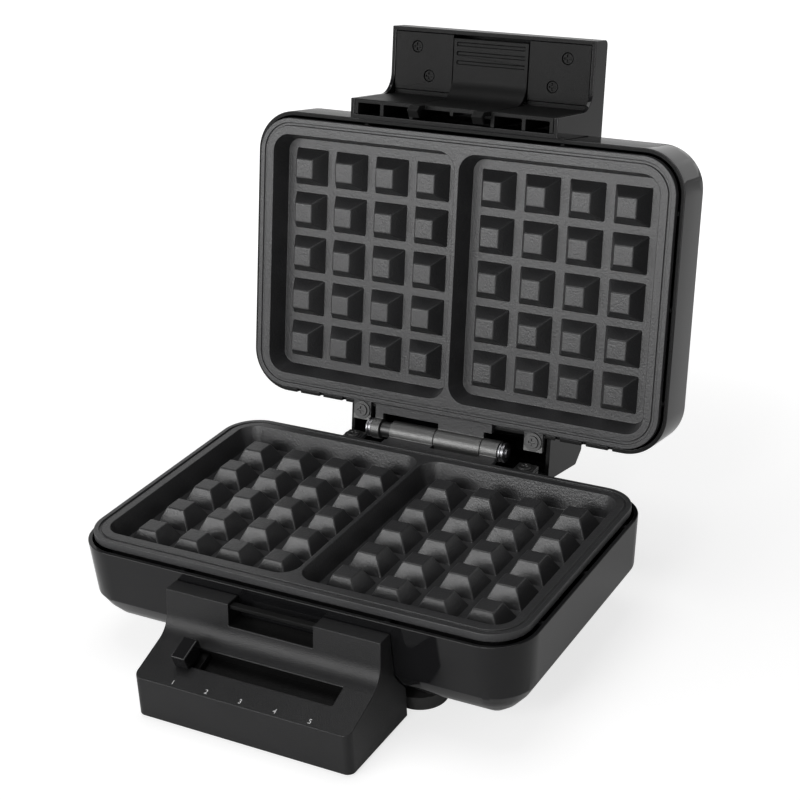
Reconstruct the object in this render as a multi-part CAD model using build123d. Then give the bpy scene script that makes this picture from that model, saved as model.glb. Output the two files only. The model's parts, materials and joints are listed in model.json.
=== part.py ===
from build123d import *
import os
from math import atan2, cos, degrees, radians, sin, sqrt, tan

os.makedirs("parts", exist_ok=True)

# Belgian waffle maker with two wells, a hinged lid and a sliding browning control.
# Millimetres. X runs across the machine, Y from the control console to the hinge, Z up.
# The machine is drawn closed, about the middle of the waffle grid, with z = 0 where the plates meet.
# At the end the lid is swung open and the whole machine is stood on the table.

# Waffle grid
peg_pitch_x = 25.0
peg_pitch_y = 24.3
peg_columns = 4
peg_rows = 5
peg_tip = 10.4
peg_foot = 20.0
peg_recess = 2.5
well_depth = 11.7
well_margin = 5.2
well_draft = 3.0
well_corner = 10.0
divider = 2.4

# Cast plates
rim_side = 8.2
rim_front = 8.9
rim_back = 8.0
rim_corner = 19.2
least_corner = 5.0
rim_thick = 4.0
plate_skin = 3.0
groove_inset = 2.5
groove_wide = 1.5
groove_deep = 0.9

# Hinge between the two castings
hinge_reach = 14.0
hinge_z = 0.8
open_angle = 100.87
barrel_r = 5.75
pin_r = 2.5
pin_fit = 0.05
barrel_gap = 0.3
knuckle_far_left = 5.0
spacer_long = 6.2
knuckle_left = 26.8
knuckle_right = 27.7
knuckle_far_right = 10.2
knuckle_centre = -4.25
retainer_thick = 3.0
retainer_r = 5.3
spacer_r = 4.3
pin_overhang = 1.0
lip_thick = 3.0
lip_clear = 0.4
strip_back = 5.2
strip_over_left = 1.0
strip_over_right = 4.6

# Clamp screws with washer heads, behind each plate, and the cross that a driver fits
clamp_x = 52.0
clamp_y = 80.4
lug_wide = 11.0
lug_long = 5.6
lug_thick = 2.2
washer_r = 5.0
washer_thick = 0.7
clamp_head_r = 3.4
clamp_head = 0.9
clamp_shank_r = 1.9
clamp_long = 14.0
clamp_boss = 20.0
washer_play = 0.4
cross_arm = 2.0
cross_wide = 1.0
cross_deep = 0.6

# Housings, base and lid
rim_gap = 1.1
shell_wall = 2.3
base_edge = 4.8
base_crease = 33.2
base_lean = 2.1
base_belly = 20.8
base_belly_from = 28.0
base_belly_to = 66.6
lid_edge = 3.6
lid_crease = 30.5
lid_lean = 0.4
lid_belly = 18.3
lid_belly_from = 15.0
lid_belly_to = 62.0
belly_steps = 4
flange_wide = 7.0
rib_thick = 2.4
rib_reach = 4.5
rib_deep = 22.0
vent_first = 65.0
vent_pitch = 14.8
vent_count = 3
vent_wide = 2.4
vent_deep = 2.6

# Hinge cover moulded on the back of the lid
cover_half = 60.5
cover_back = 101.5
cover_mouth = 5.2
cover_root = 25.2
cover_draft = 1.8
cover_corner = 7.0
cover_chamfer = 8.0

# Underside
table_drop = 63.0
bottom_thick = 1.5
bottom_play = 1.4
leg_x = 82.0
leg_wide = 26.0
leg_long = 15.5
leg_taper = 1.5
leg_back = 3.8
leg_corner = 3.0
foot_thick = 2.5
foot_inset = 2.0
front_foot_x = 56.0
front_foot_y = 47.3
front_foot_r = 13.3
front_foot_taper = 1.0
screw_r = 1.5
screw_head_r = 3.0
screw_head = 1.6
screw_play = 0.3
bottom_screw_y = 38.0
bottom_screw_long = 7.0
boss_high = 9.0
slot_count = 5
slot_pitch = 16.0
slot_long = 40.0
slot_round = 2.0

# Control console
console_half = 59.5
console_top = 9.6
console_front = 120.3
console_bottom = 61.5
console_tail = 67.6
console_wall = 2.4
wall_front = 87.9
wall_foot_y = 89.3
wall_foot_z = 21.5
panel_top_y = 98.5
panel_top_z = 32.5
panel_front_z = 40.2
console_round = 4.0
console_clear = 0.15
base_plate = 2.0
base_hole_y = 12.0
pad_r = 6.0
pad_x = 46.0
pad_y = 108.0

# Browning slider
mark_pitch = 18.9
mark_count = 5
slot_beyond = 5.7
slot_wide = 11.0
slot_back = 1.5
knob_wide = 8.0
knob_high = 8.2
knob_lift = 0.4
knob_front = 2.6
knob_chamfer = 0.8
stem_wide = 5.0
stem_play = 0.5
track_wall = 1.2
track_deep = 6.0
track_end = 2.3
carriage_long = 12.0
carriage_high = 3.5
carriage_play = 0.3
stem_reach = 1.0
pot_inside = 1.5
pot_wide = 9.0
pot_high = 6.5
board_beyond = 4.0
board_wide = 12.0
board_behind = 6.0
board_thick = 1.6

# Latch pocket in the console, and the keeper bar across it
pocket_half = 23.5
pocket_floor = 21.0
pocket_wall = 2.0
pocket_lap = 0.5
keeper_front = 86.6
keeper_deep = 3.6
keeper_top = 10.9
keeper_thick = 2.0
keeper_grip = 1.2

# Lid handle
handle_half = 59.5
handle_tip = 126.6
handle_inner = 33.5
handle_outer = 48.8
handle_top_back = 66.0
handle_wall = 2.2
handle_round = 3.0
handle_gusset = 11.0
root_front = 90.9
root_back = 80.6
root_foot = 9.0
panel_edge = 93.6
panel_thick = 2.5
panel_play = 0.2
lever_half = 21.9
lever_play = 0.4
lever_thick = 2.4
lever_tip = 122.6
lever_sink = 0.3
grip_first = 119.6
grip_pitch = 4.8
grip_count = 3
grip_wide = 1.8
grip_deep = 0.8
grip_end = 2.0
bay_wall = 2.2
root_play = 0.1
cheek_lean = 4.0
ledge_rise = 0.3
tie_thick = 2.9
tie_high = 8.0
pivot_y = 97.0
pivot_z = 40.6
pivot_r = 1.5
pivot_fit = 0.05
ear_r = 3.8
ear_thick = 2.2
hook_wide = 6.0
hook_inset = 0.5
hook_barb = 2.0
hook_edge = 1.0
hook_lip = 3.6
hook_clear = 0.9
outer_screw_x = 44.0
outer_screw_y = 116.6
inner_screw_x = 36.3
inner_screw_y = 101.5
recess_r = 3.1
recess_deep = 1.5
sunk_head_r = 2.8
sunk_head = 1.0
screw_end = 1.0
post_r = 3.8
leaf_wide = 8.0
leaf_thick = 0.5
leaf_gap = 1.0
leaf_reach = 9.0

# Heating under each plate
heater_r = 3.3
heater_inset = 34.0
heater_bend = 22.0
heater_gap = 0.1
heater_end = 18.0
pin_tail = 9.0
pin_tail_r = 1.3
shield_inset = 22.0
shield_deep = 10.0
shield_wall = 0.8
strap_wide = 12.0
strap_foot = 4.0
strap_thick = 1.0
strap_play = 0.2
strap_x = 45.0
sensor_r = 6.5
sensor_high = 7.0
sensor_x = 30.0
sensor_inset = 15.0
sensor_tab_x = 3.0
sensor_tab_wide = 3.0
sensor_tab_thick = 0.8
sensor_tab_long = 6.0

# Mains inlet
gland_x = 88.0
gland_z = 24.0
gland_r = 5.5
gland_flange_r = 7.5
gland_flange = 2.0
gland_bore = 3.6
gland_inside = 6.0
terminal_long = 26.0
terminal_wide = 12.0
terminal_high = 10.0
terminal_back = 40.0
terminal_inset = 17.0
terminal_ways = 3
terminal_pitch = 8.0
terminal_well_r = 2.2
terminal_well = 4.0

# Lengths worked out from the grid
grid_x = (peg_columns - 1) * peg_pitch_x
grid_y = (peg_rows - 1) * peg_pitch_y
floor_x = grid_x + peg_foot + 2 * well_margin
floor_y = grid_y + peg_foot + 2 * well_margin
well_x = floor_x + 2 * well_draft
well_y = floor_y + 2 * well_draft
well_centre = divider / 2 + well_x / 2
rim_half = divider / 2 + well_x + rim_side
rim_front_y = -well_y / 2 - rim_front
rim_back_y = well_y / 2 + rim_back
plate_bottom = well_depth + plate_skin
shell_grow = rim_gap + shell_wall
front_face = rim_front_y - shell_grow
back_face = rim_back_y + shell_grow
hinge_y = rim_back_y + hinge_reach
bore_r = pin_r + pin_fit
handle_ceiling = handle_outer - handle_wall
bay_near = lever_half + lever_play
bay_far = handle_half - handle_wall - panel_play
stem_low = -console_wall - stem_reach
heater_z = -plate_bottom - heater_r - heater_gap
heater_half = rim_half - heater_inset
heater_end_y = rim_front_y + heater_end
marks_half = mark_pitch * (mark_count - 1) / 2
slot_half = marks_half + slot_beyond
pot_half = slot_half - pot_inside
board_half = pot_half + board_beyond


def outline(grow, z):
    """The plan of the rim as a face at height z, grown outwards by an even amount."""
    wide = 2 * (rim_half + grow)
    long = rim_back_y - rim_front_y + 2 * grow
    middle = (rim_back_y + rim_front_y) / 2
    return Pos(0, middle, z) * RectangleRounded(wide, long, max(rim_corner + grow, least_corner))


def block(x0, x1, y0, y1, z0, z1):
    """A rectangular block between two corners."""
    return Pos((x0 + x1) / 2, (y0 + y1) / 2, (z0 + z1) / 2) * Box(x1 - x0, y1 - y0, z1 - z0)


def rod(radius, x0, x1, y, z):
    """A round bar along X."""
    return Pos((x0 + x1) / 2, y, z) * Rot(0, 90, 0) * Cylinder(radius, x1 - x0)


def post(radius, x, y, z0, z1):
    """A round bar along Z."""
    return Pos(x, y, (z0 + z1) / 2) * Cylinder(radius, z1 - z0)


def across(edges, half):
    """A closed outline in the YZ plane, drawn as (y, z) edges, made as wide as the given half width."""
    return extrude(make_face(edges), amount=half, both=True)


def side_line(*points):
    """Straight lines through (y, z) points in the YZ plane."""
    return Polyline(*[(0, y, z) for y, z in points])


def side_polygon(points, half):
    """A polygon of (y, z) points, made as wide as the given half width."""
    return across(side_line(*points, points[0]), half)


# Cast plates with their grid of pegs

def slope(across_by, high):
    """The angle in degrees of a side that moves across by one length over a height."""
    return degrees(atan2(across_by, high))


def well(side):
    """The hollow of one well, wider at the rim than at the floor."""
    floor = RectangleRounded(floor_x, floor_y, well_corner - well_draft)
    place = Pos(side * well_centre, 0, -well_depth)
    return extrude(place * floor, amount=well_depth, taper=-slope(well_draft, well_depth))


def peg(x, y):
    """One peg, a square pyramid with its top cut off."""
    high = well_depth - peg_recess
    foot = Pos(x, y, -well_depth) * Rectangle(peg_foot, peg_foot)
    return extrude(foot, amount=high, taper=slope((peg_foot - peg_tip) / 2, high))


def pegs():
    """All pegs of one plate, mirrored about the divider."""
    first = divider / 2 + well_draft + well_margin + peg_foot / 2
    rows = [row * peg_pitch_y - grid_y / 2 for row in range(peg_rows)]
    columns = [first + column * peg_pitch_x for column in range(peg_columns)]
    return [peg(side * x, y) for side in (-1, 1) for x in columns for y in rows]


def casting():
    """Rim, wells and clamp lugs, facing up, as the lower plate lies. The pegs stand on its floor."""
    rim = extrude(outline(0, -rim_thick), amount=rim_thick)
    skirt_high = plate_bottom - rim_thick
    skirt_foot = outline(plate_skin - rim_side - well_draft, -plate_bottom)
    body = rim + extrude(skirt_foot, amount=skirt_high, taper=-slope(well_draft, skirt_high))
    lug_back = clamp_y + lug_long
    seat = lug_thick - rim_thick
    for side in (-1, 1):
        left = side * clamp_x - lug_wide / 2
        body += block(left, left + lug_wide, rim_back_y - 1, lug_back, -rim_thick, seat)
        body -= block(left, left + lug_wide, clamp_y - washer_r - washer_play, lug_back, seat, 0)
        body -= post(clamp_shank_r + pin_fit, side * clamp_x, clamp_y, -rim_thick, 0)
        body -= well(side)
    groove = outline(-groove_inset, -groove_deep) - outline(-groove_inset - groove_wide, -groove_deep)
    return body - extrude(groove, amount=groove_deep)


def knuckle(start, end, lip_low, lip_high):
    """One hinge barrel with the lip that joins it to its casting."""
    lip_end = hinge_y - bore_r - 1
    lip = block(start, end, rim_back_y - 1, lip_end, lip_low, lip_high)
    barrel = rod(barrel_r, start, end, hinge_y, hinge_z)
    return lip + barrel - rod(bore_r, start - 1, end + 1, hinge_y, hinge_z)


# Places along the hinge, from left to right
left_end = knuckle_centre
left_start = left_end - knuckle_left
spacer_end = left_start - barrel_gap
spacer_start = spacer_end - spacer_long
far_left_end = spacer_start - barrel_gap
far_left_start = far_left_end - knuckle_far_left
right_start = knuckle_centre + barrel_gap
right_end = right_start + knuckle_right
far_right_start = right_end + barrel_gap
far_right_end = far_right_start + knuckle_far_right
left_retainer = far_left_start - barrel_gap
right_retainer = far_right_end + barrel_gap
low_lip = (-lip_clear - lip_thick, -lip_clear)
high_lip = (lip_clear, lip_clear + lip_thick)


def strip(start, end, lip_low, lip_high):
    """The flange along the back of a casting that its hinge barrels grow from."""
    return block(start, end, rim_back_y - 1, rim_back_y + strip_back, lip_low, lip_high)


def lower_plate():
    body = casting() + strip(left_start - strip_over_left, far_right_end + strip_over_left, *low_lip)
    body += knuckle(left_start, left_end, *low_lip)
    return body + knuckle(far_right_start, far_right_end, *low_lip)


def upper_plate():
    turned = mirror(casting(), about=Plane.XY)
    body = turned + strip(far_left_start + strip_over_right, right_end + strip_over_right, *high_lip)
    body += knuckle(right_start, right_end, *high_lip)
    return body + knuckle(far_left_start, far_left_end, *high_lip)


def hinge_pin():
    start = left_retainer - retainer_thick - pin_overhang
    end = right_retainer + retainer_thick + pin_overhang
    return rod(pin_r, start, end, hinge_y, hinge_z)


def hinge_retainers():
    """A grooved collar on each end of the pin."""
    collars = []
    for start in (left_retainer - retainer_thick, right_retainer):
        end = start + retainer_thick
        collar = rod(retainer_r, start, end, hinge_y, hinge_z)
        collar -= rod(pin_r, start - 1, end + 1, hinge_y, hinge_z)
        middle = (start + end) / 2
        ring = rod(retainer_r + 1, middle - 0.5, middle + 0.5, hinge_y, hinge_z)
        ring -= rod(retainer_r - 0.8, middle - 1, middle + 1, hinge_y, hinge_z)
        collars.append(collar - ring)
    return collars


def hinge_spacer():
    ring = rod(spacer_r, spacer_start, spacer_end, hinge_y, hinge_z)
    return ring - rod(pin_r, spacer_start - 1, spacer_end + 1, hinge_y, hinge_z)


def cross_recess(x, y, z):
    """The cross in a screw's head, centred at the face of the head."""
    arm = Box(2 * cross_arm, cross_wide, 2 * cross_deep)
    return Pos(x, y, z) * (arm + Rot(0, 0, 90) * arm)


def clamp_screws(sign):
    """Two washer-head screws, on the lower plate with sign -1 and on the upper with +1."""
    seat = sign * (rim_thick - lug_thick)
    screws = []
    for side in (-1, 1):
        washer_top = seat - sign * washer_thick
        head_top = washer_top - sign * clamp_head
        tip = seat + sign * clamp_long
        washer = post(washer_r, side * clamp_x, clamp_y, *sorted((seat, washer_top)))
        head = post(clamp_head_r, side * clamp_x, clamp_y, *sorted((washer_top, head_top)))
        shank = post(clamp_shank_r, side * clamp_x, clamp_y, *sorted((seat, tip)))
        screws.append(washer + head + shank - cross_recess(side * clamp_x, clamp_y, head_top))
    return screws


# Housings: a wall that leans in a little, a crease, and a belly that rounds under

def belly_arc(lean, crease, deep, start, end):
    """Radius and centre, as inset and height, of a belly that takes up a given depth."""
    radius = deep / (sin(radians(end)) - sin(radians(start)))
    return radius, lean + radius * cos(radians(start)), crease - radius * sin(radians(start))


def belly_insets(depth, lean, crease, deep, start, end):
    """Insets and heights of the belly's rings, on a skin that lies a depth inside the outer one."""
    radius, centre_inset, centre_z = belly_arc(lean, crease, deep, start, end)
    turns = [radians(start + (end - start) * step / belly_steps) for step in range(belly_steps + 1)]
    small = radius - depth
    return [(centre_inset - small * cos(turn), centre_z + small * sin(turn)) for turn in turns]


def dish(depth, edge, belly, sign):
    """The solid inside one skin of a housing, with sign -1 below the plates and +1 above them."""
    mouth = outline(shell_grow - depth, sign * edge)
    sections = [outline(shell_grow - inset, sign * z) for inset, z in belly_insets(depth, *belly)]
    wall = loft([mouth, sections[0]], ruled=True)
    return wall + loft(sections, ruled=True)


def rim_rests(sign):
    """Ribs inside a housing that the plate's rim sits on."""
    reach = rim_half + rim_gap
    front = rim_front_y - rim_gap
    back = rim_back_y + rim_gap
    low, high = sorted((sign * rim_thick, sign * (rim_thick + rib_deep)))
    ribs = []
    for y in (-grid_y / 2, 0, grid_y / 2):
        for side in (-1, 1):
            inner, outer = sorted((side * (reach - rib_reach), side * (reach + shell_wall / 2)))
            ribs.append(block(inner, outer, y - rib_thick / 2, y + rib_thick / 2, low, high))
    for x in (-well_centre, well_centre):
        left = x - rib_thick / 2
        ribs.append(block(left, left + rib_thick, front - shell_wall / 2, front + rib_reach, low, high))
        ribs.append(block(left, left + rib_thick, back - rib_reach, back + shell_wall / 2, low, high))
    return ribs


def clamp_bosses(sign):
    """Blocks behind the back wall that take the clamp screws."""
    low, high = sorted((sign * rim_thick, sign * (rim_thick + clamp_boss)))
    lefts = [side * clamp_x - lug_wide / 2 for side in (-1, 1)]
    front = back_face - shell_wall
    return [block(left, left + lug_wide, front, clamp_y + lug_long, low, high) for left in lefts]


def clamp_holes(sign):
    """Holes down the bosses for the screws' shanks."""
    low, high = sorted((sign * rim_thick, sign * (rim_thick + clamp_long)))
    return [post(clamp_shank_r + pin_fit, side * clamp_x, clamp_y, low, high) for side in (-1, 1)]


def lug_clearance(sign):
    """Room for the clamp lugs through the top of the back wall."""
    low, high = sorted((sign * rim_thick, 0))
    lefts = [side * clamp_x - lug_wide / 2 for side in (-1, 1)]
    return [block(left, left + lug_wide, rim_back_y, back_face + 1, low, high) for left in lefts]


def vents(sign, edge):
    """Short slots in the edge of the back wall, beside the hinge."""
    low, high = sorted((sign * (edge - 1), sign * (edge + vent_deep)))
    front = back_face - shell_wall - 1
    places = [side * (vent_first + step * vent_pitch) for side in (-1, 1) for step in range(vent_count)]
    lefts = [x - vent_wide / 2 for x in places]
    return [block(left, left + vent_wide, front, back_face + 1, low, high) for left in lefts]


base_belly_shape = (base_lean, base_crease, base_belly, base_belly_from, base_belly_to)
lid_belly_shape = (lid_lean, lid_crease, lid_belly, lid_belly_from, lid_belly_to)
base_bottom_inset, base_bottom = belly_insets(0, *base_belly_shape)[-1]
lid_top_inset, lid_top = belly_insets(0, *lid_belly_shape)[-1]
wall_tilt = degrees(atan2(base_lean, base_crease - base_edge))
bottom_screw_x = rim_half + shell_grow - base_bottom_inset - flange_wide / 2


def base_solid():
    return dish(0, base_edge, base_belly_shape, -1)


def lid_solid():
    return dish(0, lid_edge, lid_belly_shape, 1)


def rear_leg(side, inset, corner):
    """One leg under the back of the base, or with an inset the square hollow inside it."""
    low = -table_drop + foot_thick + inset
    high = -base_crease - low
    y = back_face - leg_back - leg_long / 2
    narrower = 2 * (leg_taper + inset)
    size = (leg_wide - narrower, leg_long - narrower)
    tip = RectangleRounded(*size, corner) if corner else Rectangle(*size)
    place = Pos(side * leg_x, y, low)
    return extrude(place * tip, amount=high, taper=-slope(leg_taper, high))


def rear_feet():
    """Rubber pads under the two rear legs."""
    y = back_face - leg_back - leg_long / 2
    inset = foot_inset + leg_taper
    shape = RectangleRounded(leg_wide - 2 * inset, leg_long - 2 * inset, leg_corner)
    return [extrude(Pos(side * leg_x, y, -table_drop) * shape, amount=foot_thick) for side in (-1, 1)]


def front_feet():
    """Two round feet under the front of the bottom cover."""
    high = table_drop - base_bottom - bottom_thick
    feet = []
    for side in (-1, 1):
        tip = Pos(side * front_foot_x, -front_foot_y, -table_drop) * Circle(front_foot_r)
        feet.append(extrude(tip, amount=high, taper=-slope(front_foot_taper, high)))
    return feet


def gland_frame():
    """A frame on the leaning back wall, with its z axis out of the machine."""
    y = back_face - (gland_z - base_edge) * tan(radians(wall_tilt))
    out = (0, cos(radians(wall_tilt)), -sin(radians(wall_tilt)))
    return Location(Plane(origin=(gland_x, y, -gland_z), x_dir=(1, 0, 0), z_dir=out))


def along_gland(radius, start, end):
    """A round bar square to the back wall, at the mains inlet."""
    return gland_frame() * post(radius, 0, 0, start, end)


def base_housing():
    legs = [rear_leg(side, 0, leg_corner) for side in (-1, 1)]
    leg_hollows = [rear_leg(side, shell_wall, 0) for side in (-1, 1)]
    shell = base_solid() + legs - dish(shell_wall, base_edge, base_belly_shape, -1) - leg_hollows
    opening = outline(shell_grow - base_bottom_inset - flange_wide, -base_bottom - 1)
    shell -= extrude(opening, amount=shell_wall + 2)
    shell += clamp_bosses(-1)
    shell += [rib & base_solid() for rib in rim_rests(-1)]
    shell -= lug_clearance(-1)
    shell -= clamp_holes(-1)
    shell -= vents(-1, base_edge)
    shell -= along_gland(gland_r + pin_fit, -2 * gland_inside, gland_inside)
    for x, y in bottom_screw_places():
        boss = post(screw_head_r + 1, x, y, -base_bottom, -base_bottom + boss_high)
        shell += boss & base_solid()
        shell -= post(screw_r + pin_fit, x, y, -base_bottom, -base_bottom + boss_high - 1)
    return shell


def bottom_screw_places():
    return [(sx * bottom_screw_x, sy * bottom_screw_y) for sx in (-1, 1) for sy in (-1, 1)]


def bottom_cover():
    """A pressed steel sheet that closes the base, with a row of vents."""
    inset = base_bottom_inset + bottom_play
    sheet = extrude(outline(shell_grow - inset, -base_bottom), amount=-bottom_thick)
    for x, y in bottom_screw_places():
        sheet -= post(screw_r + screw_play, x, y, -base_bottom - bottom_thick, -base_bottom)
    slot = extrude(SlotOverall(slot_long, 2 * slot_round, rotation=90), amount=bottom_thick, both=True)
    for place in range(slot_count):
        x = (place - (slot_count - 1) / 2) * slot_pitch
        sheet -= Pos(x, 0, -base_bottom - bottom_thick / 2) * slot
    return sheet


def bottom_screws():
    seat = -base_bottom - bottom_thick
    tip = -base_bottom + bottom_screw_long
    return [
        post(screw_head_r, x, y, seat - screw_head, seat) + post(screw_r, x, y, seat, tip)
        for x, y in bottom_screw_places()
    ]


def cord_gland():
    """The bush in the back wall that a mains lead would pass through."""
    flange = along_gland(gland_flange_r, 0, gland_flange)
    neck = along_gland(gland_r, -shell_wall - gland_inside, 0)
    return flange + neck - along_gland(gland_bore, -2 * gland_inside, gland_inside)


# Heating element, heat shield, straps and sensor, drawn below the lower plate

def heater():
    """A tubular element bent into a U, with its two cold ends at the front."""
    back = rim_back_y - heater_inset
    left = [(-heater_half, heater_end_y), (-heater_half, back)]
    right = [(heater_half, back), (heater_half, heater_end_y)]
    points = [(x, y, heater_z) for x, y in left + right]
    path = FilletPolyline(*points, radius=heater_bend)
    section = Plane(origin=points[0], z_dir=(0, 1, 0)) * Circle(heater_r)
    return sweep(section, path=path)


def heater_pins():
    """The steel pins that stick out of the element's cold ends."""
    pin = Rot(90, 0, 0) * Cylinder(pin_tail_r, pin_tail)
    y = heater_end_y - pin_tail / 2
    return [Pos(side * heater_half, y, heater_z) * pin for side in (-1, 1)]


def heat_shield():
    """A shallow tray that closes the space round the element."""
    low = -plate_bottom - shield_deep
    tray = extrude(outline(-shield_inset, low), amount=shield_deep)
    tray -= extrude(outline(-shield_inset - shield_wall, low + shield_wall), amount=shield_deep)
    front = rim_front_y + shield_inset
    room = heater_r + 1
    back = front + shield_wall
    for x in (-heater_half, heater_half):
        tray -= block(x - room, x + room, front - 1, back + 1, heater_z - room, -plate_bottom)
    return tray


def heater_straps():
    """Sheet straps that hold the element up against the casting."""
    low = heater_z - heater_r - heater_gap
    back = rim_back_y - heater_inset
    inside = heater_r + strap_play
    outside = inside + strap_thick
    foot = outside + strap_foot
    profile = side_polygon([
        (back - foot, -plate_bottom), (back - foot, -plate_bottom - strap_thick),
        (back - outside, -plate_bottom - strap_thick), (back - outside, low - strap_thick),
        (back + outside, low - strap_thick), (back + outside, -plate_bottom - strap_thick),
        (back + foot, -plate_bottom - strap_thick), (back + foot, -plate_bottom),
        (back + inside, -plate_bottom), (back + inside, low),
        (back - inside, low), (back - inside, -plate_bottom),
    ], strap_wide / 2)
    return [Pos(side * strap_x, 0, 0) * profile for side in (-1, 1)]


def heat_sensor():
    """A round thermostat held to the underside of the casting, with two tabs below."""
    y = rim_front_y + sensor_inset
    low = -plate_bottom - sensor_high
    body = post(sensor_r, sensor_x, y, low, -plate_bottom)
    tab = Box(sensor_tab_wide, sensor_tab_thick, sensor_tab_long)
    for side in (-1, 1):
        body += Pos(sensor_x + side * sensor_tab_x, y, low - sensor_tab_long / 2) * tab
    return body


def upside_down(shape):
    """The same piece on the other side of the meeting plane."""
    return mirror(shape, about=Plane.XY)


# Control console

panel_slope = atan2(panel_front_z - panel_top_z, console_front - panel_top_y)
wall_lean = atan2(wall_foot_y - wall_front, wall_foot_z - console_top)


def console_profile(depth):
    """The side view of the console, on a skin that lies a depth inside the outer one."""
    high = -console_top - depth
    head = (-wall_front + depth, high)
    foot = (-wall_foot_y + depth * cos(wall_lean), -wall_foot_z - depth * sin(wall_lean))
    panel = (-panel_top_y + depth * sin(panel_slope), -panel_top_z - depth * cos(panel_slope))
    edge_y = -console_front + depth
    edge = (edge_y, panel[1] - (panel[0] - edge_y) * tan(panel_slope))
    tail = (-console_tail, high)
    top = side_line(tail, head, foot)
    cove = TangentArc((0, *foot), (0, *panel), tangent=(0, -sin(wall_lean), -cos(wall_lean)))
    rest = side_line(panel, edge, (edge_y, -console_bottom), (-console_tail, -console_bottom), tail)
    return top + cove + rest


def on_panel(y):
    """The height of the sloping panel at a distance in front of the middle."""
    return -panel_top_z - (y - panel_top_y) * tan(panel_slope)


slot_centre_y = panel_top_y - slot_back + slot_wide / 2 * cos(panel_slope)
panel_frame = Plane(
    origin=(0, -slot_centre_y, on_panel(slot_centre_y)),
    x_dir=(1, 0, 0),
    z_dir=(0, -sin(panel_slope), cos(panel_slope)),
)


def panel_block(x0, x1, back, front, low, high):
    """A block square to the sloping panel, placed from the middle of the slot."""
    middle = Pos((x0 + x1) / 2, (back - front) / 2, (low + high) / 2)
    return Location(panel_frame) * middle * Box(x1 - x0, back + front, high - low)


def console_housing():
    outer = across(console_profile(0), console_half)
    corners = outer.edges().filter_by(Axis.Z).group_by(Axis.Y)[0]
    outer = fillet(corners, console_round)
    inner = across(console_profile(console_wall), console_half - console_wall)
    shell = outer - inner
    tub_half = pocket_half + pocket_wall
    tub_floor = -pocket_floor - pocket_wall
    tail = -console_tail
    shell += block(-tub_half, tub_half, -wall_front + pocket_lap, tail, tub_floor, -console_top)
    shell -= block(-pocket_half, pocket_half, -console_front, tail, -pocket_floor, 1 - console_top)
    shell -= panel_block(-slot_half, slot_half, slot_wide / 2, slot_wide / 2, -console_wall - 1, 1)
    return shell - latch_keeper() - grown_base()


def grown_base():
    """The room that the base takes out of what is fixed to its front."""
    above = block(-console_half, console_half, front_face, 0, -base_edge, 0)
    return Pos(0, -console_clear, 0) * (base_solid() + above)


def console_base():
    """The plate that closes the console from below."""
    half = console_half - console_wall - console_clear
    front = -console_front + console_wall + console_clear
    low = -console_bottom
    plate = block(-half, half, front, -console_tail, low, low + base_plate)
    hole_y = -console_tail - base_hole_y
    for side in (-1, 1):
        plate -= post(screw_r + screw_play, side * pad_x, hole_y, low, low + base_plate)
    return plate


def console_pads():
    return [post(pad_r, side * pad_x, -pad_y, -table_drop, -console_bottom) for side in (-1, 1)]


def latch_keeper():
    """The steel bar across the pocket that the two hooks catch under."""
    half = pocket_half + keeper_grip
    low = -keeper_top - keeper_thick
    return block(-half, half, -keeper_front, -keeper_front + keeper_deep, low, -keeper_top)


def slider_track():
    """The tray under the slot that guides the slider."""
    half = slot_half + track_end
    wide = slot_wide / 2 + track_end
    low = -console_wall - track_deep
    tray = panel_block(-half, half, wide, wide, low, -console_wall)
    half -= track_wall
    wide -= track_wall
    return tray - panel_block(-half, half, wide, wide, low + track_wall, -console_wall)


def slider_knob():
    """The pointer: a block over the panel with a stem through the slot."""
    x = -marks_half
    back = slot_wide / 2 - stem_play
    front = slot_wide / 2 + knob_front
    head = panel_block(x - knob_wide / 2, x + knob_wide / 2, back, front, knob_lift, knob_high)
    highest = head.edges().filter_by(Axis.X).sort_by(Axis.Z)[-1]
    head = chamfer(highest, knob_chamfer)
    return head + panel_block(x - stem_wide / 2, x + stem_wide / 2, back, back, stem_low, knob_lift)


def slider_carriage():
    left = -marks_half - carriage_long / 2
    wide = slot_wide / 2 + track_end - track_wall - carriage_play
    return panel_block(left, left + carriage_long, wide, wide, stem_low - carriage_high, stem_low)


def slide_potentiometer():
    """The linear resistor under the track, which the carriage works."""
    top = -console_wall - track_deep
    return panel_block(-pot_half, pot_half, pot_wide / 2, pot_wide / 2, top - pot_high, top)


def control_board():
    top = -console_wall - track_deep - pot_high
    return panel_block(-board_half, board_half, board_behind, board_wide, top - board_thick, top)


# Lid housing with its hinge cover

def cover_profile(depth):
    """Side view of the hinge cover, on a skin that lies a depth inside the outer one."""
    back = cover_back - depth
    top = lid_top - depth
    corner = cover_corner + depth * (sqrt(2) - 2)
    mouth = cover_mouth - depth
    front = back_face - lid_top_inset - shell_wall
    return [
        (back_face - shell_wall, mouth), (back - cover_draft, mouth),
        (back, cover_mouth + cover_chamfer), (back, top - corner),
        (back - corner, top), (front, top), (front, cover_root),
    ]


def lid_housing():
    cover = side_polygon(cover_profile(0), cover_half)
    cover_hollow = side_polygon(cover_profile(shell_wall), cover_half - shell_wall)
    hollow = dish(shell_wall, lid_edge, lid_belly_shape, 1)
    shell = lid_solid() + (cover - cover_hollow) - hollow
    shell += clamp_bosses(1)
    shell += [rib & lid_solid() for rib in rim_rests(1)]
    shell -= lug_clearance(1)
    shell -= clamp_holes(1)
    return shell - vents(1, lid_edge)


# Handle on the front of the lid

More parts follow.
